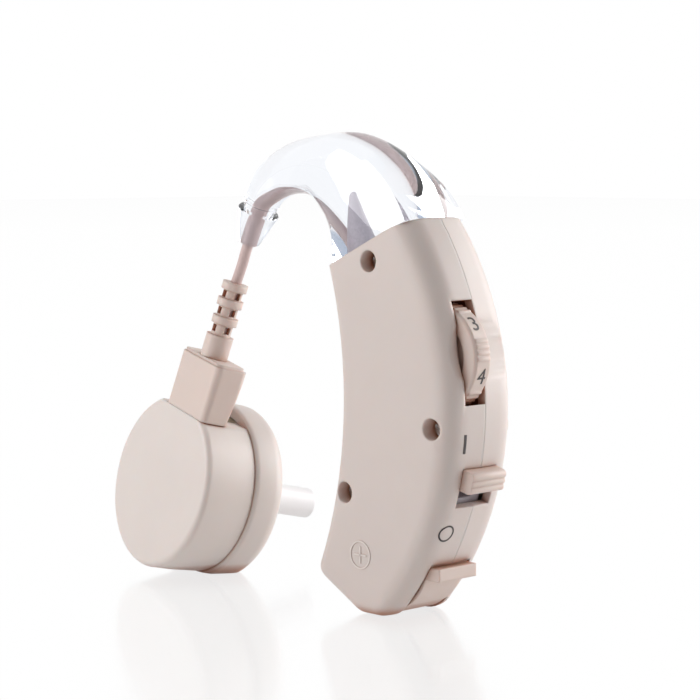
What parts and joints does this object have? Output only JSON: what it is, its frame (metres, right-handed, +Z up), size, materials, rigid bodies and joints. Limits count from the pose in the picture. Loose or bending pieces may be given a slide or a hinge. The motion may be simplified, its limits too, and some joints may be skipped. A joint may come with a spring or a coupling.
{
  "type": "behind-the-ear hearing aid",
  "caption": "Behind-the-ear hearing aid with a clear ear hook, volume wheel, slide switch, swing-out battery door and a button receiver on a short plug-in lead.",
  "frame": {"origin": "saddle of the ear hook: the top of the hook's inner curve, midway through its thickness, where it rests on top of the ear", "axes": "+Z up as worn, +X from the ear towards the back of the case with the wheel and switch, +Y from the broad face with the screws to the other broad face"},
  "size_m": [0.0566, 0.0238, 0.0522],
  "materials": {
    "case_plastic": "fine satin",
    "moulding_plastic": "fine satin",
    "hook_clear": "clear polished",
    "receiver_plastic": "fine satin",
    "nozzle_plastic": "smooth",
    "lead_sleeve": "smooth",
    "screw_steel": "plated",
    "contact_brass": "gold flashed",
    "board_laminate": "solder mask",
    "chip_resin": "moulded",
    "capacitor_ceramic": "fired",
    "carbon_track": "printed",
    "switch_plastic": "moulded",
    "gasket_rubber": "soft",
    "cell_steel": "nickel plated",
    "cell_seal": "moulded",
    "magnet_metal": "sintered",
    "coil_copper": "enamelled wire",
    "diaphragm_film": "thin film"
  },
  "bodies": {
    "case": {"near_shell": "case_plastic", "far_shell": "case_plastic", "ear_hook": "hook_clear", "case_screws": "screw_steel", "hinge_pin": "screw_steel", "circuit_board": "board_laminate", "amplifier_chip": "chip_resin", "board_capacitors": "capacitor_ceramic", "microphone": "cell_steel", "microphone_gasket": "gasket_rubber", "volume_track": "carbon_track", "switch_housing": "switch_plastic", "switch_terminals": "contact_brass", "contact_plus": "contact_brass", "contact_minus": "contact_brass", "lead_in_hook": "lead_sleeve"},
    "volume_wheel": {"volume_wheel": "moulding_plastic", "wheel_spindle": "contact_brass"},
    "power_switch": {"switch_knob": "moulding_plastic"},
    "battery_door": {"battery_door": "moulding_plastic", "battery_can": "cell_steel", "battery_gasket": "cell_seal", "battery_cap": "cell_steel"},
    "plug": {"lead_free": "lead_sleeve", "lead_in_relief": "lead_sleeve", "strain_relief": "moulding_plastic", "plug_body": "moulding_plastic", "plug_pins": "contact_brass"},
    "receiver": {"receiver_front": "receiver_plastic", "receiver_rear": "receiver_plastic", "sound_nozzle": "nozzle_plastic", "nozzle_screen": "screw_steel", "socket_contacts": "contact_brass", "yoke_cup": "magnet_metal", "magnet": "magnet_metal", "voice_coil": "coil_copper", "diaphragm": "diaphragm_film"}
  },
  "joints": [
    {"name": "volume_turn", "type": "hinge", "parent": "case", "child": "volume_wheel", "pos_m": [0.02292, 0, -0.0156], "axis": [0, 1, 0], "range_deg": [-45, 165]},
    {"name": "switch_slide", "type": "slide", "parent": "case", "child": "power_switch", "axis": [-0.2547, 0, -0.967], "range_m": [0, 0.0019]},
    {"name": "door_hinge", "type": "hinge", "parent": "case", "child": "battery_door", "pos_m": [0.00888, 0, -0.039], "axis": [0, 1, 0], "range_deg": [0, 80]},
    {"name": "lead_flex", "type": "hinge", "parent": "case", "child": "plug", "pos_m": [-0.0093, 0, -0.0049], "axis": [0, 1, 0], "range_deg": [-15, 25], "stiffness_Nm_per_rad": 0.003, "springref_deg": 5.73, "deforming": ["lead_free"]},
    {"name": "receiver_pull", "type": "slide", "parent": "plug", "child": "receiver", "axis": [-0.2294, -0.1829, -0.956], "range_m": [0, 0.006]}
  ]
}
